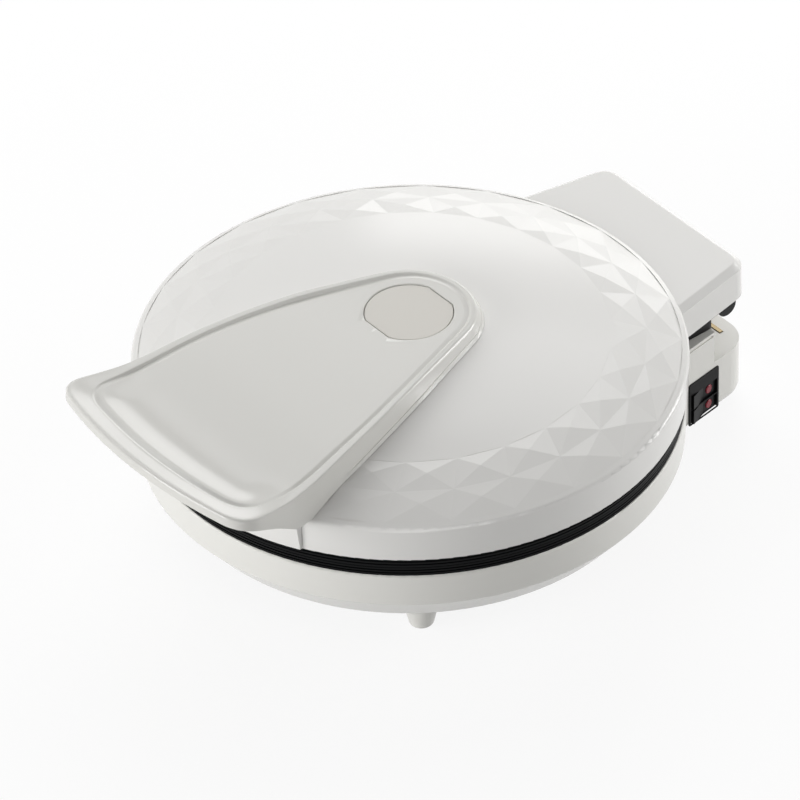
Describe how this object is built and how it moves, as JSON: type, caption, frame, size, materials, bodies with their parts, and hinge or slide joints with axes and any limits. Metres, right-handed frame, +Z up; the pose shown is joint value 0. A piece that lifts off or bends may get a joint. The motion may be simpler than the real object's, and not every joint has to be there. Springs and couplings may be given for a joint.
{
  "type": "clamshell griddle",
  "caption": "Round electric griddle with a deep base, a domed lid with a faceted ring and a long handle, facing heated plates, a floating rear hinge and rocker switches.",
  "frame": {"origin": "on the table under the middle of the whole object's length and width, below the feet", "axes": "+Y from the handle's lip at the front to the hinge at the back, +Z up, +X to the side with the switches"},
  "size_m": [0.3312, 0.4174, 0.1355],
  "materials": {
    "base_plastic": "moulded polypropylene, warm white",
    "lid_plastic": "moulded, glossy white",
    "handle_plastic": "moulded, glossy white",
    "cap_plastic": "moulded, matt warm grey",
    "switch_plastic": "moulded, black",
    "hinge_plastic": "moulded, black",
    "terminal_plastic": "moulded polyamide",
    "gland_rubber": "moulded",
    "lamp_lens": "red translucent lens",
    "plate_coating": "cast aluminium with a dark non-stick coating",
    "element_steel": "stainless sheath, heat tinted",
    "reflector_steel": "pressed aluminised sheet",
    "thermostat_steel": "plated",
    "frame_steel": "pressed zinc-plated sheet",
    "yoke_steel": "pressed zinc-plated sheet",
    "pin_steel": "drawn steel",
    "screw_steel": "zinc plated"
  },
  "bodies": {
    "base": {"base_shell": "base_plastic", "bottom_cover": "base_plastic", "bottom_screws": "screw_steel", "plate_screws": "screw_steel", "lower_plate": "plate_coating", "lower_element": "element_steel", "lower_reflector": "reflector_steel", "lower_thermostat": "thermostat_steel", "terminal_block": "terminal_plastic", "cord_gland": "gland_rubber", "switch_frame": "switch_plastic", "rocker_pin": "pin_steel"},
    "main_rocker": {"main_rocker": "switch_plastic", "main_lamp": "lamp_lens"},
    "upper_rocker": {"upper_rocker": "switch_plastic", "upper_lamp": "lamp_lens"},
    "hinge_yoke": {"hinge_yoke": "yoke_steel", "hinge_rod": "pin_steel"},
    "lid": {"lid_cover": "lid_plastic", "handle": "handle_plastic", "grip": "lid_plastic", "handle_cap": "cap_plastic", "handle_screws": "screw_steel", "crown_screws": "screw_steel", "upper_plate": "plate_coating", "upper_element": "element_steel", "upper_reflector": "reflector_steel", "upper_thermostat": "thermostat_steel", "upper_frame": "frame_steel", "frame_screws": "screw_steel", "hood_floor": "hinge_plastic", "hood_screws": "screw_steel"}
  },
  "joints": [
    {"name": "hinge_float", "type": "slide", "parent": "base", "child": "hinge_yoke", "axis": [0, 0, 1], "range_m": [0, 0.02]},
    {"name": "lid_hinge", "type": "hinge", "parent": "hinge_yoke", "child": "lid", "pos_m": [0, 0.19175, 0.0747], "axis": [-1, 0, 0], "range_deg": [0, 100]},
    {"name": "main_switch", "type": "hinge", "parent": "base", "child": "main_rocker", "pos_m": [0.06945, 0.16527, 0.0146], "axis": [0, 0, -1], "range_deg": [0, 14]},
    {"name": "upper_switch", "type": "hinge", "parent": "base", "child": "upper_rocker", "pos_m": [0.06945, 0.16527, 0.026], "axis": [0, 0, -1], "range_deg": [0, 14]}
  ]
}
